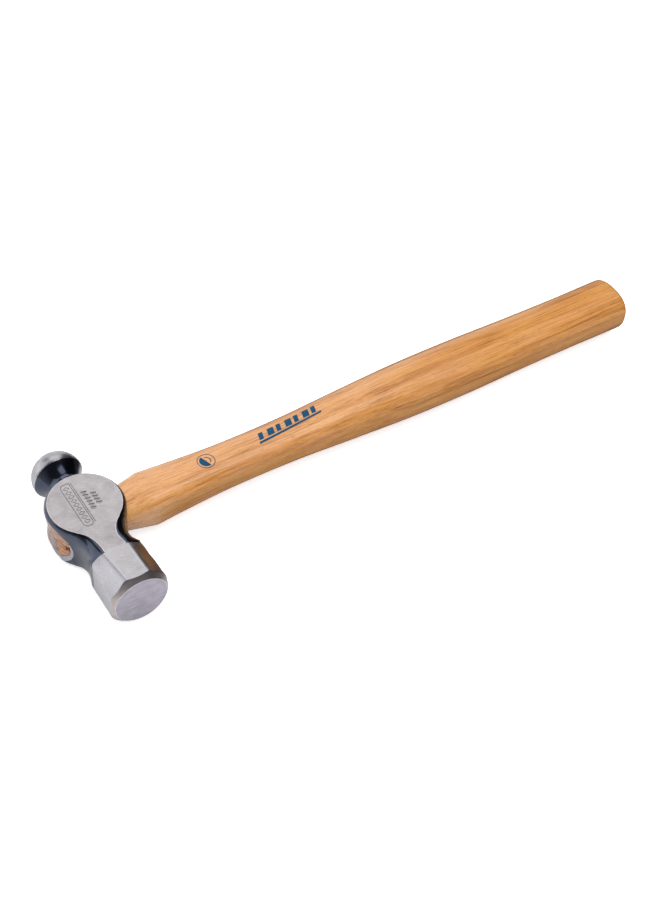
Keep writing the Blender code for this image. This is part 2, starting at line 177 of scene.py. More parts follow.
# ---- node helpers --------------------------------------------------------------------------------
class Paint:
    """A material being built: every call adds one node and returns one of its outputs."""

    def __init__(self, name, **shader_values):
        self.material = bpy.data.materials.new(name)
        self.material.use_nodes = True
        self.tree = self.material.node_tree
        self.shader = self.tree.nodes["Principled BSDF"]
        self.set(**shader_values)

    def set(self, **values):
        """Set or link the shader's inputs; Base_Color stands for Base Color."""
        for key, value in values.items():
            self.feed(self.shader.inputs[key.replace("_", " ")], value)

    def feed(self, socket, value):
        if isinstance(value, bpy.types.NodeSocket):
            self.tree.links.new(value, socket)
        elif socket.type == "RGBA":
            socket.default_value = (*value, 1.0)
        else:
            socket.default_value = value

    def node(self, kind, inputs, output=0, **settings):
        made = self.tree.nodes.new("ShaderNode" + kind)
        for key, value in settings.items():
            setattr(made, key, value)
        for key, value in inputs.items():
            self.feed(made.inputs[key], value)
        return made.outputs[output]

    def position(self, turn=0.0):
        """Object coordinates in metres, turned about Z by these degrees."""
        place = self.node("TexCoord", {}, output="Object")
        return self.node("Mapping", {"Vector": place, "Rotation": (0.0, 0.0, math.radians(turn))})

    def noise(self, size, detail=2.0, roughness=0.5, place=None, distortion=0.0, seed=0.0):
        """Noise whose features are size = (x, y, z) metres; seed shifts it."""
        place = place or self.position()
        scale = tuple(1 / s for s in size)
        vector = self.node("Mapping", {"Vector": place, "Scale": scale, "Location": (seed,) * 3})
        return self.node("TexNoise", {"Vector": vector, "Scale": 1.0, "Detail": detail,
                                      "Roughness": roughness, "Distortion": distortion})

    def math(self, operation, a, b=0.0, c=0.0):
        return self.node("Math", {0: a, 1: b, 2: c}, operation=operation)

    def span(self, value, low, high, to_low=0.0, to_high=1.0, smooth=False):
        """Map low..high to to_low..to_high, held within them."""
        kind = "SMOOTHSTEP" if smooth else "LINEAR"
        return self.node("MapRange", {"Value": value, "From Min": low, "From Max": high,
                                      "To Min": to_low, "To Max": to_high}, interpolation_type=kind)

    def blend(self, share, a, b):
        """Colour between a and b."""
        mix = self.tree.nodes.new("ShaderNodeMix")
        mix.data_type = "RGBA"
        self.feed(mix.inputs[0], share)
        self.feed(mix.inputs[6], a)
        self.feed(mix.inputs[7], b)
        return mix.outputs[2]

    def ramp(self, value, *stops):
        """Colour ramp through rising (position, colour) stops."""
        made = self.tree.nodes.new("ShaderNodeValToRGB")
        elements = made.color_ramp.elements
        for position, colour in stops[2:]:
            elements.new(position)
        for element, (position, colour) in zip(elements, stops):
            element.position = position
            element.color = (*colour, 1.0)
        self.feed(made.inputs[0], value)
        return made.outputs[0]

    def bump(self, height, distance):
        return self.node("Bump", {"Height": height, "Distance": distance, "Strength": 1.0})

    def axis(self, name):
        """One of the object coordinates."""
        return self.node("SeparateXYZ", {0: self.node("TexCoord", {}, output="Object")}, output=name)


# ---- finishes --------------------------------------------------------------------------------
def ground_steel(name, colour, streak, turn, roughness, depth, mottle=0.06, contrast=0.13):
    """Bare steel with grinding lines of streak = (length, width) along a direction in the XY plane.

    mottle is the share of the cloudy tone, and contrast is how far the tones reach from the colour.
    """
    paint = Paint(name, Metallic=1.0, Anisotropic=0.35)
    place = paint.position(turn)
    length, width = streak
    coarse = paint.noise((length, width, width), 3.0, 0.6, place)
    fine = paint.noise((length * 0.4, width * 0.3, width * 0.3), 2.0, 0.5, place, seed=3.7)
    cloud = paint.noise((6 * MM, 6 * MM, 6 * MM), 3.0, 0.6, seed=9.1)
    lines = paint.math("MULTIPLY_ADD", fine, 0.5, paint.math("MULTIPLY", coarse, 0.5))
    line_share = 0.22
    tone = paint.math("MULTIPLY_ADD", cloud, mottle, paint.math("MULTIPLY", lines, line_share))
    dark = tuple(c * (1 - contrast) for c in colour)
    light = tuple(min(c * (1 + contrast), 1.0) for c in colour)
    middle, reach = (line_share + mottle) / 2, 0.045
    paint.set(Base_Color=paint.ramp(tone, (middle - reach, dark), (middle + reach, light)),
              Roughness=paint.span(lines, 0.3, 0.7, roughness - 0.05, roughness + 0.07),
              Normal=paint.bump(lines, depth))
    return paint.material


def turned_steel(name, colour, roughness, depth):
    """Bare steel with fine rings of tool marks about the head's own axis."""
    paint = Paint(name, Metallic=1.0)
    mark = 0.35 * MM
    from_axis = paint.node("CombineXYZ", {0: paint.axis("X"), 2: paint.axis("Z")})
    radius = paint.node("VectorMath", {0: from_axis}, output="Value", operation="LENGTH")
    angle = paint.math("ARCTAN2", paint.axis("Z"), paint.axis("X"))
    polar = paint.node("CombineXYZ", {0: paint.math("MULTIPLY", angle, 2.0),
                                      1: paint.math("DIVIDE", radius, mark),
                                      2: paint.math("DIVIDE", paint.axis("Y"), mark)})
    marks = paint.node("TexNoise", {"Vector": polar, "Scale": 1.0, "Detail": 3.0, "Roughness": 0.6})
    cloud = paint.noise((5 * MM, 5 * MM, 5 * MM), 3.0, 0.6, seed=4.3)
    tone = paint.math("MULTIPLY_ADD", cloud, 0.5, paint.math("MULTIPLY", marks, 0.5))
    dark = tuple(c * 0.72 for c in colour)
    light = tuple(min(c * 1.12, 1.0) for c in colour)
    paint.set(Base_Color=paint.ramp(tone, (0.32, dark), (0.66, light)),
              Roughness=paint.span(marks, 0.3, 0.7, roughness - 0.05, roughness + 0.08),
              Normal=paint.bump(marks, depth))
    return paint.material


def lacquer(name):
    """Glossy blue-black finish on forged steel; it gives way to bare steel on the poll.

    The border runs further along the poll at middle height than beside the cheek.
    """
    paint = Paint(name, Metallic=1.0, Coat_Weight=0.25, Coat_Roughness=0.08, Coat_IOR=1.5)
    waves = paint.noise((3.5 * MM, 3.5 * MM, 3.5 * MM), 2.0, 0.5)
    peel = paint.noise((0.7 * MM, 0.7 * MM, 0.7 * MM), 2.0, 0.5, seed=5.0)
    cloud = paint.noise((9 * MM, 9 * MM, 9 * MM), 2.0, 0.5, seed=2.0)
    height = paint.math("MULTIPLY_ADD", peel, 0.12, waves)
    edge_noise = paint.noise((1.2 * MM, 1.2 * MM, 1.2 * MM), 3.0, 0.6, seed=7.0)
    level = paint.math("ABSOLUTE", paint.axis("Z"))
    lobe = paint.span(level, 7.0 * MM, 12.0 * MM, LACQUER_LOBE, 0.0, smooth=True)
    border = paint.math("ADD", paint.axis("Y"), lobe)
    border = paint.math("MULTIPLY_ADD", edge_noise, 0.5 * MM, border)
    bare = paint.span(border, LACQUER_END_Y - 0.1 * MM, LACQUER_END_Y + 0.25 * MM, 1.0, 0.0,
                      smooth=True)
    grind = paint.noise((6 * MM, 0.5 * MM, 0.5 * MM), 3.0, 0.6, paint.position(20), seed=1.3)
    steel = paint.ramp(grind, (0.3, (0.42, 0.41, 0.44)), (0.7, (0.56, 0.55, 0.58)))
    blue_black = paint.ramp(cloud, (0.3, (0.052, 0.062, 0.090)), (0.7, (0.084, 0.097, 0.136)))
    paint.set(Base_Color=paint.blend(bare, blue_black, steel),
              Roughness=paint.math("MULTIPLY_ADD", bare, 0.16, paint.span(cloud, 0.3, 0.7, 0.14, 0.22)),
              Normal=paint.bump(height, 0.012 * MM))
    return paint.material


def hickory(name):
    """Varnished hickory: streaky grain along X, pores, and darker winter wood in long bands."""
    paint = Paint(name, IOR=1.5, Coat_Weight=1.0, Coat_Roughness=0.2, Coat_IOR=1.6)
    place = paint.position()
    bands = paint.noise((75 * MM, 4 * MM, 5 * MM), 4.0, 0.62, place, distortion=0.3)
    streaks = paint.noise((30 * MM, 0.8 * MM, 0.8 * MM), 3.0, 0.62, place, seed=2.6)
    fibre = paint.noise((7 * MM, 0.22 * MM, 0.22 * MM), 2.0, 0.6, place, seed=6.1)
    pores = paint.noise((3.5 * MM, 0.26 * MM, 0.26 * MM), 1.0, 0.5, place, seed=8.8)
    blush = paint.noise((45 * MM, 9 * MM, 9 * MM), 2.0, 0.5, place, seed=4.4)
    grain = paint.math("MULTIPLY_ADD", streaks, 0.5, paint.math("MULTIPLY", bands, 0.42))
    grain = paint.math("MULTIPLY_ADD", fibre, 0.22, grain)
    wood = paint.ramp(grain, (0.43, (0.33, 0.110, 0.021)), (0.51, (0.56, 0.222, 0.044)),
                      (0.60, (0.69, 0.308, 0.073)), (0.72, (0.77, 0.392, 0.122)))
    wood = paint.blend(paint.span(blush, 0.45, 0.7, 0.0, 0.35), wood, (0.76, 0.36, 0.16))
    dots = paint.span(pores, 0.62, 0.74, 0.0, 0.6)
    wood = paint.blend(dots, wood, (0.24, 0.075, 0.020))
    height = paint.math("SUBTRACT", paint.math("MULTIPLY", streaks, 0.5), dots)
    paint.set(Base_Color=wood, Roughness=paint.span(grain, 0.45, 0.7, 0.42, 0.34),
              Normal=paint.bump(height, 0.02 * MM))
    return paint.material


def end_grain(name, light, dark):
    """Sawn and ground end grain: speckled vessels, streaks of darker wood, a clear coat."""
    paint = Paint(name, IOR=1.48, Coat_Weight=0.5, Coat_Roughness=0.25)
    rings = paint.noise((8 * MM, 2.4 * MM, 1.2 * MM), 3.0, 0.65, distortion=0.8)
    vessels = paint.noise((3 * MM, 0.35 * MM, 0.35 * MM), 2.0, 0.5, seed=3.0)
    patches = paint.noise((9 * MM, 4 * MM, 4 * MM), 2.0, 0.5, seed=5.5)
    between = tuple((a + b) / 2 for a, b in zip(light, dark))
    wood = paint.ramp(rings, (0.34, dark), (0.5, between), (0.6, light))
    wood = paint.blend(paint.span(patches, 0.4, 0.65, 0.0, 0.5), wood, (0.66, 0.27, 0.08))
    holes = paint.span(vessels, 0.62, 0.72, 0.0, 0.7)
    paint.set(Base_Color=paint.blend(holes, wood, (0.10, 0.04, 0.02)),
              Roughness=paint.span(rings, 0.3, 0.7, 0.42, 0.6),
              Normal=paint.bump(paint.math("SUBTRACT", rings, holes), 0.05 * MM))
    return paint.material


def stamped_steel(name):
    """Floor of the stamped marks: rougher steel, with a dark tone that is partly painted shade inside
    the shallow grooves.
    """
    paint = Paint(name, Metallic=0.85)
    grit = paint.noise((0.25 * MM, 0.25 * MM, 0.25 * MM), 3.0, 0.7)
    # the dark tone is partly painted shade in the grooves, partly the rougher steel's own colour
    paint.set(Base_Color=paint.ramp(grit, (0.3, (0.16, 0.14, 0.14)), (0.7, (0.32, 0.29, 0.29))),
              Roughness=paint.span(grit, 0.3, 0.7, 0.45, 0.6), Normal=paint.bump(grit, 0.02 * MM))
    return paint.material


def ink(name, light, dark):
    """Printed ink, unevenly worn, with a dull shine."""
    paint = Paint(name, IOR=1.3)
    wear = paint.noise((2.5 * MM, 0.5 * MM, 0.5 * MM), 3.0, 0.65)
    paint.set(Base_Color=paint.ramp(wear, (0.35, dark), (0.68, light)),
              Roughness=paint.span(wear, 0.3, 0.7, 0.4, 0.55), Normal=paint.bump(wear, 0.01 * MM))
    return paint.material


# ---- mesh helpers ----------------------------------------------------------------------------
def loft(name, rings, zone=lambda i, j: 0, start_zone=0, end_zone=0):
    """Skin rings of equally many points and close both ends; zone(ring, point) picks the material."""
    mesh = bpy.data.meshes.new(name)
    build = bmesh.new()
    rows = [[build.verts.new(point) for point in ring] for ring in rings]
    for i, (near, far) in enumerate(zip(rows, rows[1:])):
        for j in range(len(near)):
            k = (j + 1) % len(near)
            build.faces.new((near[j], near[k], far[k], far[j])).material_index = zone(i, j)
    build.faces.new(rows[0][::-1]).material_index = start_zone
    build.faces.new(rows[-1]).material_index = end_zone
    bmesh.ops.remove_doubles(build, verts=build.verts, dist=0.5e-6)
    bmesh.ops.dissolve_degenerate(build, edges=build.edges, dist=1e-7)
    bmesh.ops.recalc_face_normals(build, faces=build.faces)
    build.to_mesh(mesh)
    build.free()
    return mesh


def make_piece(name, mesh, materials):
    """An object about the middle of the eye, with its materials in the order of the zones."""
    piece = bpy.data.objects.new(name, mesh)
    bpy.context.scene.collection.objects.link(piece)
    for material in materials:
        mesh.materials.append(material)
    piece.location = EYE
    return piece


def carve(piece, *cuts):
    """Apply Booleans in order, each (mesh, operation), and keep the result as the piece's mesh."""
    cutters = []
    for mesh, operation in cuts:
        cutter = make_piece("cutter", mesh, piece.data.materials)
        modifier = piece.modifiers.new("cut", "BOOLEAN")
        modifier.operation = operation
        modifier.solver = "EXACT"
        modifier.use_self = mesh.name.startswith("stamps")      # its strokes overlap at the corners
        modifier.object = cutter
        cutters.append(cutter)
    bpy.context.view_layer.update()
    graph = bpy.context.evaluated_depsgraph_get()
    mesh = bpy.data.meshes.new_from_object(piece.evaluated_get(graph))
    piece.modifiers.clear()
    piece.data = mesh
    for cutter in cutters:
        bpy.data.objects.remove(cutter)


def finish_surface(piece, sharp_degrees=30):
    """Shade smooth, with edges sharper than this kept crisp."""
    piece.data.shade_smooth()
    piece.data.set_sharp_from_angle(angle=math.radians(sharp_degrees))


def turned_about_y(name, profile, zones):
    """Turn (radius, y) points about the Y axis; zones gives the material of each stretch."""
    rings = []
    for radius, y in profile:
        ring = []
        for i in range(TURNED_POINTS):
            angle = 2 * math.pi * i / TURNED_POINTS
            ring.append(Vector((radius * math.cos(angle), y, radius * math.sin(angle))))
        rings.append(ring)
    return loft(name, rings, lambda i, j: zones[i], zones[0], zones[-1])


def oval(half_y, half_z, power):
    """Points (y, z) of a superellipse; a higher power makes it squarer."""
    points = []
    for i in range(OVAL_POINTS):
        angle = 2 * math.pi * (i + 0.5) / OVAL_POINTS
        c, s = math.cos(angle), math.sin(angle)
        points.append((half_y * math.copysign(abs(c) ** (2 / power), c),
                       half_z * math.copysign(abs(s) ** (2 / power), s)))
    return points


def ease(value, start, end):
    """0 before start, 1 after end, and a smooth S between them."""
    t = min(max((value - start) / (end - start), 0.0), 1.0)
    return t * t * (3 - 2 * t)


def smooth_min(a, b, reach):
    """The smaller of two values, rounded where they come within reach of each other."""
    near = max(reach - abs(a - b), 0.0) / reach
    return min(a, b) - near * near * reach / 4


# ---- head ------------------------------------------------------------------------------------
CHEEK, HIGHLIGHT_STRIP, WALL, POLL, CHAMFER, FACE, DOME, GROUND, EYE_WALL, STAMP = range(10)


def boss_radius(level):
    """Radius of the boss's barrel wall at a level: 0 at middle height, 1 at the cheek."""
    inset = BOSS_MID_RADIUS - BOSS_CHEEK_RADIUS
    if level < BOSS_ROLL_LEVEL:
        return BOSS_MID_RADIUS - inset * BOSS_BARREL * (level / BOSS_ROLL_LEVEL) ** 2
    share = BOSS_ROLL_CUT * (level - BOSS_ROLL_LEVEL) / (1 - BOSS_ROLL_LEVEL)
    edge = math.sqrt(1 - BOSS_ROLL_CUT ** 2)
    rolled = (math.sqrt(1 - share * share) - edge) / (1 - edge)
    return BOSS_CHEEK_RADIUS + inset * (1 - BOSS_BARREL) * rolled


def boss_level(radius):
    """The level at which the boss's wall has this radius."""
    share = (radius - BOSS_CHEEK_RADIUS) / (BOSS_MID_RADIUS - BOSS_CHEEK_RADIUS)
    if share > 1 - BOSS_BARREL:
        return BOSS_ROLL_LEVEL * math.sqrt(max(1 - share, 0.0) / BOSS_BARREL)
    edge = math.sqrt(1 - BOSS_ROLL_CUT ** 2)
    height = edge + (1 - edge) * share / (1 - BOSS_BARREL)
    return BOSS_ROLL_LEVEL + (1 - BOSS_ROLL_LEVEL) * math.sqrt(1 - height * height) / BOSS_ROLL_CUT


def boss_half_width(y, level):
    """Half width of the round boss at y, or 0 beyond its ends."""
    radius = boss_radius(level)
    share = (y - BOSS_CENTRE_Y) / (radius * BOSS_STRETCH)
    return radius * math.sqrt(max(1 - share * share, 0.0))


def neck_waist(level):
    """Half width of the neck at its waist: narrow at the ground cheek, full at middle height."""
    return NECK_CHEEK_HALF + (NECK_MID_HALF - NECK_CHEEK_HALF) * math.sqrt(1 - level ** NECK_ROUNDNESS)


def along_poll(y, at_start, at_face):
    """A dimension that changes evenly along the poll, and stays the same behind it."""
    share = max((y - POLL_START_Y) / (FACE_Y - POLL_START_Y), 0.0)
    return at_start + (at_face - at_start) * share


def poll_half_width(y, level):
    """Half width of the octagonal poll, with soft creases between its facets."""
    half = head_half_height(y)
    side = along_poll(y, *POLL_HALF_X)
    depth = half * (1 - level)
    slope = (half - along_poll(y, *POLL_SIDE_HALF_Z)) / (side - POLL_TOP_FLAT)
    turn = math.atan(slope)
    start = POLL_TOP_FLAT - POLL_TOP_ROUNDING * math.tan(turn / 2)
    if depth < POLL_TOP_ROUNDING * (1 - math.cos(turn)):
        width = start + math.sqrt(POLL_TOP_ROUNDING ** 2 - (POLL_TOP_ROUNDING - depth) ** 2)
    else:
        width = POLL_TOP_FLAT + depth / slope
    return smooth_min(width, side, POLL_SIDE_ROUNDING)


def front_half_width(y, level):
    """Half width on the face side: the boss, the hollow fillet into the neck, and the poll."""
    if y <= POLL_START_Y:
        return poll_half_width(y, level)
    radius = boss_radius(level)
    waist = neck_waist(level)
    fillet = NECK_MID_FILLET + (NECK_CHEEK_FILLET - NECK_MID_FILLET) * level ** 3
    fillet_x = waist + fillet
    reach = math.sqrt((radius + fillet) ** 2 - fillet_x ** 2) * BOSS_STRETCH
    waist_y = BOSS_CENTRE_Y - reach
    touch_y = BOSS_CENTRE_Y - reach * radius / (radius + fillet)
    if y >= touch_y:
        return boss_half_width(y, level)
    if y >= waist_y:
        return fillet_x - math.sqrt(max(fillet ** 2 - (y - waist_y) ** 2, 0.0))
    share = (waist_y - y) / (waist_y - POLL_START_Y)
    return waist + (poll_half_width(y, level) - waist) * share ** POLL_FLARE_POWER


def head_half_height(y):
    """Half height of the head, from the poll over the cheeks and down the boss's far wall."""
    if y < POLL_START_Y:
        return along_poll(y, CHEEK_HALF, POLL_HALF_Z)
    radius = (y - BOSS_CENTRE_Y) / BOSS_STRETCH
    return CHEEK_HALF * (boss_level(radius) if radius > BOSS_CHEEK_RADIUS else 1.0)


def head_edge(y, z, side):
    """Distance from the YZ plane to the head's wall; side is +1 (handle) or -1 (wedge end)."""
    if y > BOSS_CENTRE_Y:
        return boss_half_width(y, min(abs(z) / CHEEK_HALF, 1.0))
    level = min(abs(z) / head_half_height(y), 1.0)
    at_neck = ease(y, POLL_START_Y, NECK_WAIST_Y) * ease(y, BOSS_CENTRE_Y, NECK_WAIST_Y)
    shift = along_poll(y, 0.0, POLL_SHIFT_X) - NECK_CHEEK_SHIFT * at_neck * level ** 3
    return front_half_width(y, level) + side * shift


def head_section(y):
    """One ring: down the +X wall, under the lower cheek, up the -X wall, over the upper cheek."""
    half = head_half_height(y)
    heights = [half * level for level in WALL_LEVELS]
    heights += [-z for z in heights[-2::-1]]
    right = [Vector((head_edge(y, z, 1), y, z)) for z in heights]
    left = [Vector((-head_edge(y, z, -1), y, z)) for z in reversed(heights)]
    across_bottom = cheek_points(right[-1], left[0])
    across_top = cheek_points(left[-1], right[0])
    return right + across_bottom + left + across_top


def cheek_points(start, end):
    """Points across a cheek; the first and last leave room for the strip of painted highlight along its
    edge.
    """
    width = max((end - start).length, 5 * EDGE_HIGHLIGHT_WIDTH)
    strip = EDGE_HIGHLIGHT_WIDTH / width
    return [start.lerp(end, share) for share in (strip, *CHEEK_SHARES, 1 - strip)]


def head_stations():
    """Y of each section: close together where the outline turns quickly."""
    spare = 2 * MM                  # beyond the face, to be trimmed off
    steps = [FACE_Y - spare + (POLL_START_Y - FACE_Y) * i / POLL_SECTIONS for i in range(POLL_SECTIONS)]
    steps += [CHEEK_END_Y, POLL_START_Y]
    steps += [POLL_START_Y + step * MM for step in (0.3, 0.7, 1.2, 1.8, 2.5)]
    start = steps[-1] + NECK_STEP
    steps += [start + NECK_STEP * i for i in range(NECK_SECTIONS)]
    reach = BOSS_CHEEK_RADIUS * BOSS_STRETCH
    first = math.degrees(math.asin((steps[-1] + 0.5 * MM - BOSS_CENTRE_Y) / reach))
    count = round((90 - first) / BOSS_STEP)
    steps += [BOSS_CENTRE_Y + reach * math.sin(math.radians(first + (90 - first) * i / count))
              for i in range(count + 1)]
    steps += [BOSS_CENTRE_Y + BOSS_STRETCH * boss_radius(level) for level in FAR_WALL_LEVELS]
    return steps


def head_zone(stations):
    """The finish of each face of the head's loft, by its place along the ring and its middle y."""
    walls = 2 * len(WALL_LEVELS) - 1
    across = len(CHEEK_SHARES) + 2

    def zone(i, j):
        y = (stations[i] + stations[i + 1]) / 2
        side, along = divmod(j, walls + across)
        if along < walls - 1:
            return WALL
        if y < CHEEK_END_Y:
            return POLL
        # the cheek's outermost strips take the painted highlight
        return HIGHLIGHT_STRIP if along in (walls - 1, walls + across - 1) else CHEEK

    return zone


def peen_mesh():
    """The turned peen, from its tip to the inside of the boss."""
    dome_length = PEEN_TIP_Y - PEEN_RIM_Y
    profile, zones = [(0.0, PEEN_TIP_Y)], []
    for degrees in range(DOME_STEP, 91, DOME_STEP):
        angle = math.radians(degrees)
        profile.append((PEEN_RADIUS * math.sin(angle), PEEN_RIM_Y + dome_length * math.cos(angle)))
        zones.append(DOME)
    back_y = PEEN_RIM_Y - PEEN_RIM_LAND
    profile += [(PEEN_RADIUS, back_y + PEEN_RIM_CHAMFER),
                (PEEN_RADIUS - 0.07 * MM, back_y + 0.08 * MM),
                (PEEN_RADIUS - PEEN_RIM_LIP, back_y - 0.12 * MM)]
    # the rim's step takes the painted highlight
    zones += [DOME, HIGHLIGHT_STRIP, HIGHLIGHT_STRIP]
    for i in range(1, FLARE_SECTIONS + 1):
        share = i / FLARE_SECTIONS
        flare = (PEEN_RADIUS - PEEN_NECK_RADIUS) * (1 - share) ** PEEN_FLARE_POWER
        profile.append((PEEN_NECK_RADIUS + flare, back_y - PEEN_FLARE_LENGTH * share))
    profile += [(radius * MM, y * MM) for y, radius in PEEN_ROOT]
    profile.append((0.0, PEEN_ROOT[-1][0] * MM))
    zones += [WALL] * (len(profile) - 1 - len(zones))
    return turned_about_y("peen", profile, zones)


def envelope_mesh():
    """A turned shape that trims the end of the poll to the striking face and its chamfer."""
    reach = 30 * MM                 # clear of the head all round
    shoulder_y = FACE_Y + (reach - FACE_RADIUS) / CHAMFER_SLOPE
    top = PEEN_TIP_Y + 5 * MM
    lip = math.atan(CHAMFER_SLOPE)
    profile = [(0.0, top), (reach, top), (reach, shoulder_y)]
    inset = FACE_EDGE_ROUNDING * math.tan(math.pi / 4 - lip / 2)
    for i in range(5):
        angle = lip + (math.pi / 2 - lip) * i / 4
        profile.append((FACE_RADIUS - inset + FACE_EDGE_ROUNDING * math.cos(angle),
                        FACE_Y + FACE_EDGE_ROUNDING * (1 - math.sin(angle))))
    profile += [(FACE_RADIUS * share, FACE_Y) for share in (0.75, 0.5, 0.25, 0.0)]
    # the rounded edge of the face takes the painted highlight
    mesh = turned_about_y("envelope", profile, [CHAMFER] * 3 + [HIGHLIGHT_STRIP] * 4 + [FACE] * 4)
    mesh.transform(Matrix.Translation((POLL_SHIFT_X, 0.0, 0.0)))
    return mesh


def eye_size(x, gap=0.0):
    """Half sizes of the eye at x, less a gap all round."""
    mouth = EYE_WEDGE_MOUTH if x < 0 else EYE_HANDLE_MOUTH
    share = (abs(x) / EYE_MOUTH_X) ** EYE_FLARE_POWER
    return [waist + (wide - waist) * share - gap for waist, wide in zip(EYE_WAIST, mouth)]


def oval_ring(x, half_y, half_z, power):
    return [Vector((x, y, z)) for y, z in oval(half_y, half_z, power)]


def eye_mesh():
    rings = [oval_ring(x * MM, *eye_size(x * MM), EYE_OVAL_POWER) for x in range(-25, 26, 2)]
    return loft("eye", rings, lambda i, j: EYE_WALL, EYE_WALL, EYE_WALL)


def ground_end_mesh(zone=0):
    """Everything beyond the dished oval patch that is ground over the wedge end of the eye.

    Its rim lies on the head's own wall.
    """
    middle = Vector((GROUND_END_X, *GROUND_END_MIDDLE))
    rim = []
    for offset_y, offset_z in oval(*GROUND_END_HALF, GROUND_END_POWER):
        if offset_y > 0:
            offset_y *= GROUND_END_BACK / GROUND_END_HALF[0]
        y, z = middle.y + offset_y, middle.z + offset_z
        rim.append(Vector((-head_edge(y, z, -1), y, z)))
    rings = []
    for share in GROUND_END_SHARES:
        rings.append([Vector((middle.x + (point.x - middle.x) * share ** GROUND_END_CROWN,
                              middle.y + (point.y - middle.y) * share,
                              middle.z + (point.z - middle.z) * share)) for point in rim])
    for point in rings[-1]:
        point.x -= GROUND_END_LIFT
    far_x = GROUND_END_X - GROUND_END_REACH
    rings.append([Vector((far_x, point.y, point.z)) for point in rings[-1]])
    return loft("ground_end", rings, lambda i, j: zone, zone, zone)


# ---- stamped marks on the cheek: generic shapes, no lettering -----------------------------------
STAMP_DEPTH = 0.14 * MM
STAMP_LINE = 0.34 * MM
CARTOUCHE = ((-1.6, 17.4), (-1.6, -9.6), (-2.6, -11.2), (-5.2, -11.2), (-6.6, -9.4), (-6.6, 15.6),
             (-5.6, 17.4))          # corners, in mm
LOZENGE_COUNT = 9
LOZENGE_MIDDLE = (-4.1, 14.6)       # of the first one, in mm
LOZENGE_HALF = (1.4, 1.05)
LOZENGE_STEP = 2.85
LOZENGE_LINE = 0.28 * MM
SCALES = ((2.2, 9.2, 6), (6.0, 6.6, 4))     # x and y of the first bar in mm, and the number of bars
SCALE_STEP = 2.15
SCALE_BAR = 0.85 * MM
SCALE_TICK = 0.3 * MM


def stroke_corners(start, end, width):
    """Corners of a straight stroke between two points."""
    start, end = Vector(start) * MM, Vector(end) * MM
    along = (end - start).normalized()
    side = Vector((-along.y, along.x)) * width / 2
    reach = along * width / 2
    return [start - reach - side, end + reach - side, end + reach + side, start - reach + side]


def outline_strokes(points, width):
    """Strokes round a closed outline."""
    return [stroke_corners(a, b, width) for a, b in zip(points, points[1:] + points[:1])]


def stamps_mesh():
    """Shallow prisms for the cartouche, the row of lozenges in it and the two short scales."""
    shapes = outline_strokes(CARTOUCHE, STAMP_LINE)
    shapes.append(stroke_corners((-0.7, 17.2), (-0.7, -10.0), STAMP_LINE))
    x, first = LOZENGE_MIDDLE
    half_x, half_y = LOZENGE_HALF
    for i in range(LOZENGE_COUNT):
        y = first - LOZENGE_STEP * i
        corners = ((x, y + half_y), (x + half_x, y), (x, y - half_y), (x - half_x, y))
        shapes += outline_strokes(corners, LOZENGE_LINE)
    for x, first, count in SCALES:
        for i in range(count):
            y = first - SCALE_STEP * i
            shapes.append(stroke_corners((x - 0.8, y), (x + 1.2, y - 0.5), SCALE_BAR))
            shapes.append(stroke_corners((x - 0.6, y - 1.05), (x + 0.8, y - 1.4), SCALE_TICK))
    mesh = bpy.data.meshes.new("stamps")
    build = bmesh.new()
    for corners in shapes:
        low = [build.verts.new((p.x, p.y, CHEEK_HALF - STAMP_DEPTH)) for p in corners]
        high = [build.verts.new((p.x, p.y, CHEEK_HALF + MM)) for p in corners]
        build.faces.new(low[::-1])
        build.faces.new(high)
        for i in range(4):
            j = (i + 1) % 4
            build.faces.new((low[i], low[j], high[j], high[i]))
    for face in build.faces:
        face.material_index = STAMP
    build.to_mesh(mesh)
    build.free()
    return mesh


def make_head():
    materials = [       # in the order of the zones
        ground_steel("ground_cheek", (0.485, 0.455, 0.465), (5 * MM, 0.35 * MM), 30, 0.34, 0.018 * MM,
                     mottle=0.12, contrast=0.26),
        # painted highlight: the edge strips get a brighter steel, standing in for edges that catch the
        # light
        ground_steel("edge_painted_highlight", (0.66, 0.63, 0.64), (3 * MM, 0.3 * MM), 0, 0.25, 0.004 * MM),
        lacquer("blue_black_lacquer"),
        ground_steel("ground_poll", (0.475, 0.46, 0.47), (6 * MM, 0.35 * MM), 14, 0.34, 0.020 * MM,
                     mottle=0.08, contrast=0.26),
        turned_steel("turned_chamfer", (0.50, 0.455, 0.445), 0.36, 0.03 * MM),
        # the face's darker tone is partly painted shade: it stands in for the shaded floor that the
        # face reflects
        ground_steel("brushed_face_with_painted_shade", (0.395, 0.375, 0.43), (9 * MM, 0.32 * MM), 0, 0.36, 0.03 * MM,
                     mottle=0.06, contrast=0.42),
        turned_steel("turned_peen", (0.46, 0.455, 0.48), 0.3, 0.008 * MM),
        ground_steel("ground_end", (0.42, 0.42, 0.47), (0.4 * MM, 6 * MM), 0, 0.3, 0.01 * MM),
        stamped_steel("eye_wall"),
        stamped_steel("stamped_marks_painted_shade"),
    ]
    stations = head_stations()
    rings = [head_section(y) for y in stations]
    mesh = loft("forged_head", rings, head_zone(stations), FACE, WALL)
    head = make_piece("forged_head", mesh, materials)
    carve(head, (peen_mesh(), "UNION"), (envelope_mesh(), "INTERSECT"),
          (ground_end_mesh(GROUND), "DIFFERENCE"), (eye_mesh(), "DIFFERENCE"),
          (stamps_mesh(), "DIFFERENCE"))
    finish_surface(head)
    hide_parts("hammer_head")
    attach(head, "root")


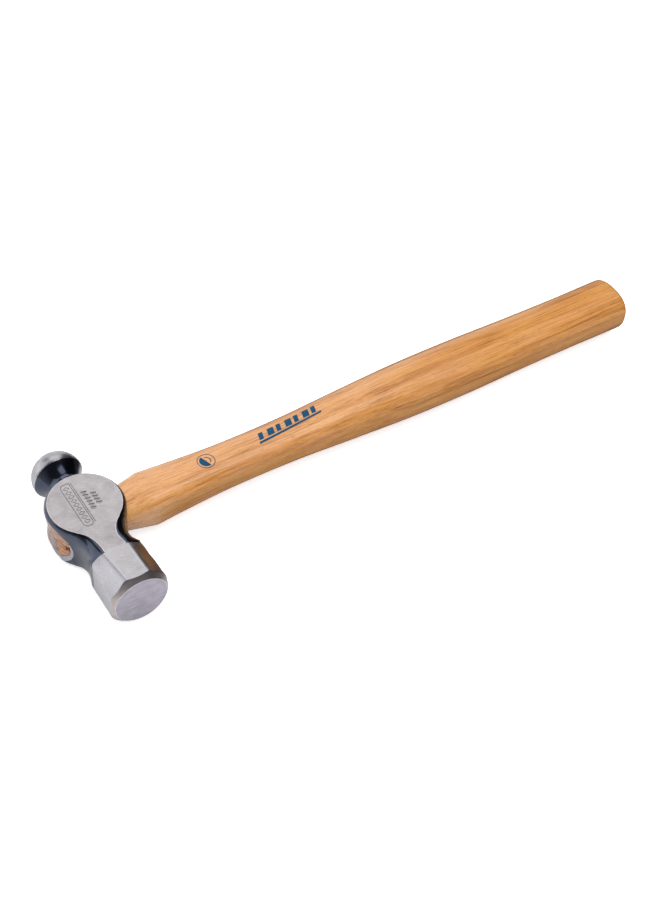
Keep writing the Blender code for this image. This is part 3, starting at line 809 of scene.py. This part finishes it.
# ---- handle ------------------------------------------------------------------------------------
def smooth_step_through(stations, x):
    """Values at x on smooth curves through stations of (x, value, value, ...)."""
    spans = [i for i in range(len(stations) - 1) if stations[i][0] <= x]
    i = spans[-1] if spans else 0
    low, high = stations[i], stations[i + 1]
    before = stations[max(i - 1, 0)]
    after = stations[min(i + 2, len(stations) - 1)]
    span = high[0] - low[0]
    t = (x - low[0]) / span
    values = []
    for k in range(1, len(low)):
        slope_low = span * (high[k] - before[k]) / (high[0] - before[0])
        slope_high = span * (after[k] - low[k]) / (after[0] - low[0])
        values.append(low[k] * (1 + 2 * t) * (1 - t) ** 2 + high[k] * t * t * (3 - 2 * t)
                      + slope_low * t * (1 - t) ** 2 - slope_high * t * t * (1 - t))
    return values


def handle_section(x):
    """Half width, half height and squareness of the handle at x, up to its rounded end."""
    if x <= TAPER_START_X:
        return [*eye_size(x, FIT_GAP), EYE_OVAL_POWER]
    shoulder_x = HANDLE_STATIONS[0][0]
    if x < shoulder_x:
        share = (x - TAPER_START_X) / (shoulder_x - TAPER_START_X)
        start = handle_section(TAPER_START_X)
        return [a + (b - a) * share for a, b in zip(start, HANDLE_STATIONS[0][1:])]
    return smooth_step_through(HANDLE_STATIONS, x)


def handle_mesh():
    """The tenon inside the eye, the tapered shoulder, the shaft and the domed end, in one loft."""
    shoulder_x = HANDLE_STATIONS[0][0]
    straight_end = HANDLE_END_X - HANDLE_END_ROUNDING
    places = [TENON_END_X + (TAPER_START_X - TENON_END_X) * i / TENON_SECTIONS
              for i in range(TENON_SECTIONS)]
    places += [TAPER_START_X + (shoulder_x - TAPER_START_X) * i / TAPER_SECTIONS
               for i in range(TAPER_SECTIONS + 1)]
    count = round((straight_end - shoulder_x) / HANDLE_STEP)
    places += [shoulder_x + (straight_end - shoulder_x) * i / count for i in range(1, count + 1)]
    rings = [oval_ring(x, *handle_section(x)) for x in places]

    half_y, half_z, power = handle_section(straight_end)
    reach = HANDLE_END_ROUNDING - HANDLE_END_DOME
    for degrees in (*range(HANDLE_END_STEP, 81, HANDLE_END_STEP), 84):
        angle = math.radians(degrees)
        inset = HANDLE_END_ROUNDING * (1 - math.cos(angle))
        x = straight_end + reach * math.sin(angle)
        rings.append(oval_ring(x, half_y - inset, half_z - inset, power))
    edge_x, edge_y, edge_z = x, half_y - inset, half_z - inset
    for share in (0.8, 0.6, 0.4, 0.2):
        x = edge_x + (HANDLE_END_X - edge_x) * (1 - share ** 2)
        rings.append(oval_ring(x, edge_y * share, edge_z * share, power))
    rings.append([Vector((HANDLE_END_X, 0.0, 0.0))] * OVAL_POINTS)
    return loft("hickory_handle", rings)


def wedge_mesh(name, tip_x, half_width, thick_end, thin_end, gap=0.0, zone=0):
    """A wedge from the tenon's end to tip_x: half_width along Y, thickness along Z."""
    mesh = bpy.data.meshes.new(name)
    build = bmesh.new()
    bmesh.ops.create_cube(build, size=2.0)
    for vert in build.verts:
        thickness, x = (thick_end, TENON_END_X - gap) if vert.co.x < 0 else (thin_end, tip_x + gap)
        vert.co = (x, vert.co.y * (half_width + gap), vert.co.z * (thickness / 2 + gap))
    for face in build.faces:
        face.material_index = zone
    build.to_mesh(mesh)
    build.free()
    return mesh


def wood_wedge_mesh(half_width=WOOD_WEDGE_HALF_WIDTH, gap=0.0, zone=0):
    """The wooden wedge, or a wider one that cuts its kerf."""
    return wedge_mesh("wood_wedge", WOOD_WEDGE_TIP_X, half_width, WOOD_WEDGE_THICK_END,
                      WOOD_WEDGE_THIN_END, gap, zone)


def steel_wedge_mesh(gap=0.0, zone=0):
    """A shorter wedge turned about X, so that it spreads the tenon across the wooden one."""
    mesh = wedge_mesh("steel_wedge", STEEL_WEDGE_TIP_X, STEEL_WEDGE_HALF_WIDTH,
                      STEEL_WEDGE_THICK_END, STEEL_WEDGE_THIN_END, gap, zone)
    turn = Matrix.Rotation(STEEL_WEDGE_TURN, 4, "X")
    mesh.transform(Matrix.Translation((0.0, *STEEL_WEDGE_MIDDLE)) @ turn)
    return mesh


def make_handle():
    """The handle and its two wedges; zone 1 of the handle is its cut and ground end grain."""
    tenon_end = end_grain("hickory_end_grain", (0.74, 0.34, 0.14), (0.26, 0.09, 0.035))
    varnished = hickory("varnished_hickory")
    handle = make_piece("hickory_handle", handle_mesh(), [varnished, tenon_end])
    carve(handle, (wood_wedge_mesh(KERF_HALF_WIDTH, FIT_GAP, 1), "DIFFERENCE"),
          (steel_wedge_mesh(FIT_GAP, 1), "DIFFERENCE"), (ground_end_mesh(1), "DIFFERENCE"))
    finish_surface(handle, 40)
    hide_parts("handle")
    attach(handle, "root")

    wedge_end = end_grain("wedge_end_grain", (0.58, 0.27, 0.11), (0.20, 0.07, 0.03))
    wood = make_piece("driven_wood_wedge", wood_wedge_mesh(), [wedge_end])
    carve(wood, (steel_wedge_mesh(FIT_GAP), "DIFFERENCE"), (ground_end_mesh(), "DIFFERENCE"))
    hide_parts("wooden_wedge")
    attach(wood, "root")

    steel = make_piece("driven_steel_wedge", steel_wedge_mesh(), [
        ground_steel("wedge_steel", (0.30, 0.30, 0.34), (0.4 * MM, 5 * MM), 0, 0.3, 0.01 * MM)])
    carve(steel, (ground_end_mesh(), "DIFFERENCE"))
    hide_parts("steel_wedge")
    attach(steel, "root")


# ---- printed marks on the handle: generic shapes, no lettering -----------------------------------
PRINT_LIFT = 0.02 * MM
PRINT_THICKNESS = 0.03 * MM
BADGE_CENTRE = (64.9, -0.2)         # in mm, as all the sizes below
BADGE_RING = (4.7, 4.3)
BADGE_DISC_RADIUS = 3.5
BADGE_ARC = (2.6, 2.1)
BAR_COUNT = 7
BAR_START = (95.3, 0.9)
BAR_STEP = 5.4
BAR_RISE = 0.07                     # of the row, per mm along it
BAR_WIDTHS = (2.6, 3.8)             # in turn
BAR_LEAN = 1.3


def handle_top(x, y):
    """Height of the handle's upper surface."""
    half_y, half_z, power = handle_section(x)
    return half_z * (1 - abs(y / half_y) ** power) ** (1 / power)


def print_mesh(name, strips):
    """Thin films that follow the handle's top; each strip is two equally long rows of (x, y) in mm."""
    mesh = bpy.data.meshes.new(name)
    build = bmesh.new()
    for near, far in strips:
        layers = []
        for lift in (PRINT_LIFT, PRINT_LIFT + PRINT_THICKNESS):
            rows = []
            for row in (near, far):
                points = [(x * MM, y * MM) for x, y in row]
                rows.append([build.verts.new((x, y, handle_top(x, y) + lift)) for x, y in points])
            layers.append(rows)
        (low_near, low_far), (high_near, high_far) = layers
        for i in range(len(near) - 1):
            build.faces.new((low_near[i], low_far[i], low_far[i + 1], low_near[i + 1]))
            build.faces.new((high_near[i], high_near[i + 1], high_far[i + 1], high_far[i]))
            build.faces.new((low_near[i], low_near[i + 1], high_near[i + 1], high_near[i]))
            build.faces.new((low_far[i + 1], low_far[i], high_far[i], high_far[i + 1]))
        build.faces.new((low_near[0], high_near[0], high_far[0], low_far[0]))
        build.faces.new((low_near[-1], low_far[-1], high_far[-1], high_near[-1]))
    bmesh.ops.remove_doubles(build, verts=build.verts, dist=1e-7)
    bmesh.ops.recalc_face_normals(build, faces=build.faces)
    build.to_mesh(mesh)
    build.free()
    return mesh


def circle_row(radius, start=0, end=360):
    """Points every ten degrees on a circle or an arc of the badge."""
    x, y = BADGE_CENTRE
    return [(x + radius * math.cos(math.radians(a)), y + radius * math.sin(math.radians(a)))
            for a in range(start, end + 1, 10)]


def line_row(start, end, pieces):
    """Evenly spaced points on a straight line."""
    return [tuple(a + (b - a) * i / pieces for a, b in zip(start, end)) for i in range(pieces + 1)]


def make_prints():
    blue = ink("blue_ink", (0.006, 0.085, 0.165), (0.003, 0.05, 0.115))
    strips = [tuple(circle_row(radius) for radius in BADGE_RING),
              (circle_row(BADGE_DISC_RADIUS, 110, 290), circle_row(0.1, 110, 290)),
              tuple(circle_row(radius, -50, 90) for radius in BADGE_ARC)]
    badge = make_piece("round_print", print_mesh("round_print", strips), [blue])

    strips = []
    for i in range(BAR_COUNT):
        x = BAR_START[0] + BAR_STEP * i
        y = BAR_START[1] + BAR_RISE * BAR_STEP * i
        width = BAR_WIDTHS[i % 2]
        near = line_row((x, y - 2.2), (x + BAR_LEAN, y + 2.4), 4)
        far = line_row((x + width, y - 2.1), (x + width + BAR_LEAN, y + 2.5), 4)
        strips.append((near, far))
    underline = (line_row((94.3, -3.5), (132.4, -0.7), 16), line_row((94.6, -2.1), (132.7, 0.5), 16))
    strips.append(underline)
    marks = make_piece("long_print", print_mesh("long_print", strips), [blue])
    for piece in (badge, marks):
        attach(piece, "root")


# ---- floor, light and camera --------------------------------------------------------------------
CAMERA_OFFSET = Vector((-0.1867, -0.4503, 0.5877))      # from the eye's middle
CAMERA_AIM = Vector((0.1277, -0.0173, 0.0))             # from the eye's middle
CAMERA_ROLL = math.radians(4.85)
CAMERA_LENS = 62.19
FLOOR_SIZE = 12.0
FLOOR_GLOW = 0.7                    # seen by the camera only
SHADE_SLANT = 0.6                   # the painted shade in the floor's reflection narrows by this much per metre from the head
SHADE_EDGE = (10 * MM, 35 * MM)     # beside the head, where the painted shade in the floor's reflection fades in
SHADE_DEPTH = 0.93
WORLD_SHADE_X = (0.45, 0.7)         # the world darkens between these X components of a direction
WORLD_SHADE = (0.03, 0.03, 0.035)
WORLD_HORIZON = (0.50, 0.50, 0.52)
WORLD_HIGH = (0.07, 0.07, 0.08)
WORLD_HIGH_Z = 0.7                  # the world has its high colour above this Z component
SOFTBOX_DISTANCE = 1.4
FILL_DISTANCE = 3.0


def make_stage():
    """A pale floor that the camera sees as white; reflected rays see it painted dark on the handle's
    side, a painted shade in the steel's reflections.
    """
    mesh = bpy.data.meshes.new("floor")
    half = FLOOR_SIZE / 2
    corners = [(-half, -half, 0), (half, -half, 0), (half, half, 0), (-half, half, 0)]
    mesh.from_pydata(corners, [], [(0, 1, 2, 3)])
    floor = bpy.data.objects.new("floor", mesh)
    bpy.context.scene.collection.objects.link(floor)
    paint = Paint("floor", Roughness=0.9)
    cloud = paint.noise((0.4, 0.4, 0.4), 2.0, 0.5)
    pale = paint.ramp(cloud, (0.3, (0.90, 0.90, 0.905)), (0.7, (0.92, 0.92, 0.92)))
    # painted shade: for reflected rays only, the floor beside the head on the handle's side is painted
    # near black
    rays = paint.node("LightPath", {}, output="Is Glossy Ray")
    across = paint.math("SUBTRACT", paint.axis("X"), EYE.x)
    along = paint.math("ABSOLUTE", paint.math("SUBTRACT", paint.axis("Y"), EYE.y))
    beside = paint.math("MULTIPLY_ADD", along, -SHADE_SLANT, across)
    shade = paint.span(beside, *SHADE_EDGE, 0.0, SHADE_DEPTH, smooth=True)
    painted_reflection_shade = paint.math("MULTIPLY", rays, shade)
    glow = paint.node("LightPath", {}, output="Is Camera Ray")
    paint.set(Base_Color=paint.blend(painted_reflection_shade, pale, (0.01, 0.01, 0.01)), Emission_Color=(1.0, 1.0, 1.0),
              Emission_Strength=paint.math("MULTIPLY", glow, FLOOR_GLOW))
    mesh.materials.append(paint.material)


def add_softbox(name, direction, distance, spread, radiance, glossy=True, diffuse=True):
    """A soft rectangle of light; spread is the angles in degrees that it fills, seen from the eye.

    glossy and diffuse say which reflections of the light are kept.
    """
    width, height = [2 * distance * math.tan(math.radians(angle) / 2) for angle in spread]
    light = bpy.data.lights.new(name, "AREA")
    light.shape = "RECTANGLE"
    light.size, light.size_y = width, height
    light.energy = radiance * math.pi * width * height
    lamp = bpy.data.objects.new(name, light)
    bpy.context.scene.collection.objects.link(lamp)
    direction = Vector(direction).normalized()
    lamp.location = EYE + direction * distance
    lamp.rotation_euler = direction.to_track_quat("Z", "Y").to_euler()
    lamp.visible_glossy = glossy
    lamp.visible_diffuse = diffuse


def make_world():
    """A dim studio round the softboxes, darker on the handle's side, in front of a pale backdrop."""
    world = bpy.data.worlds.new("studio")
    bpy.context.scene.world = world
    world.use_nodes = True
    tree = world.node_tree
    place = tree.nodes.new("ShaderNodeTexCoord")
    split = tree.nodes.new("ShaderNodeSeparateXYZ")
    ramp = tree.nodes.new("ShaderNodeValToRGB")
    behind = tree.nodes.new("ShaderNodeMapRange")
    shade = tree.nodes.new("ShaderNodeMix")
    rays = tree.nodes.new("ShaderNodeLightPath")
    backdrop = tree.nodes.new("ShaderNodeMix")
    behind.inputs["From Min"].default_value, behind.inputs["From Max"].default_value = WORLD_SHADE_X
    shade.data_type = backdrop.data_type = "RGBA"
    shade.inputs[7].default_value = (*WORLD_SHADE, 1.0)
    backdrop.inputs[7].default_value = (1.0, 1.0, 1.0, 1.0)
    tree.links.new(place.outputs["Generated"], split.inputs[0])
    tree.links.new(split.outputs["Z"], ramp.inputs[0])
    tree.links.new(split.outputs["X"], behind.inputs["Value"])
    tree.links.new(behind.outputs["Result"], shade.inputs[0])
    tree.links.new(ramp.outputs[0], shade.inputs[6])
    tree.links.new(rays.outputs["Is Camera Ray"], backdrop.inputs[0])
    tree.links.new(shade.outputs[2], backdrop.inputs[6])
    tree.links.new(backdrop.outputs[2], tree.nodes["Background"].inputs[0])
    stops = ramp.color_ramp.elements
    stops[0].position, stops[0].color = 0.0, (*WORLD_HORIZON, 1.0)
    stops[1].position, stops[1].color = WORLD_HIGH_Z, (*WORLD_HIGH, 1.0)


def make_camera():
    camera = bpy.data.objects.new("camera", bpy.data.cameras.new("camera"))
    bpy.context.scene.collection.objects.link(camera)
    camera.data.lens = CAMERA_LENS
    camera.data.clip_start = 0.02
    camera.location = EYE + CAMERA_OFFSET
    camera.rotation_mode = "QUATERNION"
    look = (CAMERA_AIM - CAMERA_OFFSET).to_track_quat("-Z", "Y")
    camera.rotation_quaternion = look @ Quaternion((0.0, 0.0, 1.0), CAMERA_ROLL)
    bpy.context.scene.camera = camera


make_head()
make_handle()
make_prints()
make_stage()
make_world()
add_softbox("back_softbox", (0.23, 0.70, 0.68), SOFTBOX_DISTANCE, (36, 42), 1.27, diffuse=False)
add_softbox("left_softbox", (-0.62, 0.67, 0.41), SOFTBOX_DISTANCE, (46, 54), 1.0, diffuse=False)
add_softbox("rear_softbox", (0.09, 0.99, 0.10), SOFTBOX_DISTANCE, (70, 18), 0.75, diffuse=False)
add_softbox("overhead_softbox", (0.28, -0.04, 0.96), SOFTBOX_DISTANCE, (32, 26), 1.3)
add_softbox("fill", (0.05, -0.10, 0.99), FILL_DISTANCE, (68, 68), 2.6, glossy=False)
make_camera()
bpy.context.scene.view_settings.view_transform = "Standard"
